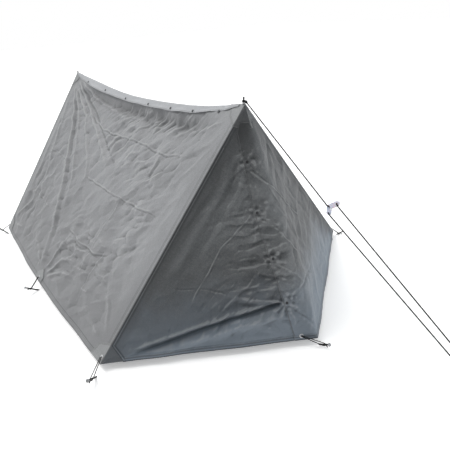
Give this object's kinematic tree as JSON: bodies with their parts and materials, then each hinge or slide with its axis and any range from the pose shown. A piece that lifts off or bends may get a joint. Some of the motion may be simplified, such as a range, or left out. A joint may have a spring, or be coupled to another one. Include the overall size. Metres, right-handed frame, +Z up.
{
  "type": "a frame tent",
  "caption": "Two-person A-frame shelter tent of two snapped cloth halves with a lapped pyramid door at each end, upright poles, pegs and a guy line with a sliding runner.",
  "frame": {"origin": "on the ground plane, midway between the two upright poles", "axes": "+Z up; +Y along the ridge from the front (guy line) end to the rear end; +X to the right seen from the front"},
  "size_m": [2.101, 4.3673, 1.2555],
  "materials": {
    "tent_cloth": "matt woven cotton, creased",
    "reinforcement_cloth": "matt woven cotton",
    "snap_metal": "blackened snap",
    "eyelet_metal": "satin",
    "peg_steel": "black coated, bright struck head",
    "rope": "braided cord",
    "runner_plastic": "moulded",
    "pole_wood": "satin turned wood",
    "pole_fittings": "zinc plated",
    "foot_rubber": "matt"
  },
  "bodies": {
    "root": {"front_apex_peg": "peg_steel", "front_left_corner_patch": "reinforcement_cloth", "front_left_peg": "peg_steel", "front_left_tie_loop": "rope", "front_peak_gusset": "reinforcement_cloth", "front_pole_foot": "foot_rubber", "front_pole_lower": "pole_wood", "front_pole_middle": "pole_wood", "front_pole_spike": "pole_fittings", "front_pole_upper": "pole_wood", "front_right_corner_patch": "reinforcement_cloth", "front_right_peg": "peg_steel", "front_right_tie_loop": "rope", "guy_line_loop": "rope", "guy_line_upper": "rope", "guy_peg": "peg_steel", "guy_spike_eye": "rope", "guy_spike_knot": "rope", "hem_eyelets": "eyelet_metal", "left_roof_half": "tent_cloth", "mid_left_patch": "reinforcement_cloth", "mid_left_peg": "peg_steel", "mid_left_tie_loop": "rope", "mid_right_patch": "reinforcement_cloth", "mid_right_peg": "peg_steel", "mid_right_tie_loop": "rope", "peak_grommets": "eyelet_metal", "pole_ferrules": "pole_fittings", "rear_apex_peg": "peg_steel", "rear_left_corner_patch": "reinforcement_cloth", "rear_left_peg": "peg_steel", "rear_left_tie_loop": "rope", "rear_peak_gusset": "reinforcement_cloth", "rear_pole_foot": "foot_rubber", "rear_pole_lower": "pole_wood", "rear_pole_middle": "pole_wood", "rear_pole_spike": "pole_fittings", "rear_pole_upper": "pole_wood", "rear_right_corner_patch": "reinforcement_cloth", "rear_right_peg": "peg_steel", "rear_right_tie_loop": "rope", "ridge_lap_strip": "tent_cloth", "ridge_snap_caps": "snap_metal", "ridge_snap_studs": "snap_metal", "right_roof_half": "tent_cloth"},
    "front_outer_flap_body": {"front_outer_flap": "tent_cloth", "front_door_snap_caps": "snap_metal", "front_apex_eyelet": "eyelet_metal", "front_apex_tie_loop": "rope"},
    "front_inner_flap_body": {"front_inner_flap": "tent_cloth", "front_door_snap_studs": "snap_metal"},
    "rear_outer_flap_body": {"rear_outer_flap": "tent_cloth", "rear_door_snap_caps": "snap_metal", "rear_apex_eyelet": "eyelet_metal", "rear_apex_tie_loop": "rope"},
    "rear_inner_flap_body": {"rear_inner_flap": "tent_cloth", "rear_door_snap_studs": "snap_metal"},
    "runner_body": {"guy_runner": "runner_plastic", "guy_end_knot": "rope"}
  },
  "joints": [
    {"name": "front_outer_flap_swing", "type": "hinge", "parent": "root", "child": "front_outer_flap_body", "pos_m": [0, -1.07, 1.135], "axis": [-0.6378, -0.0732, 0.7667], "range_deg": [0, 220], "deforming": ["front_apex_tie_loop"]},
    {"name": "front_inner_flap_swing", "type": "hinge", "parent": "root", "child": "front_inner_flap_body", "pos_m": [0, -1.07, 1.135], "axis": [-0.6378, 0.0732, -0.7667], "range_deg": [0, 220]},
    {"name": "rear_outer_flap_swing", "type": "hinge", "parent": "root", "child": "rear_outer_flap_body", "pos_m": [0, 1.07, 1.135], "axis": [0.6378, 0.0732, 0.7667], "range_deg": [0, 220], "deforming": ["rear_apex_tie_loop"]},
    {"name": "rear_inner_flap_swing", "type": "hinge", "parent": "root", "child": "rear_inner_flap_body", "pos_m": [0, 1.07, 1.135], "axis": [0.6378, -0.0732, -0.7667], "range_deg": [0, 220]},
    {"name": "guy_runner_slide", "type": "slide", "parent": "root", "child": "runner_body", "axis": [0, -0.82, -0.5724], "range_m": [0, 0.35], "deforming": ["guy_line_upper", "guy_line_loop"]}
  ]
}
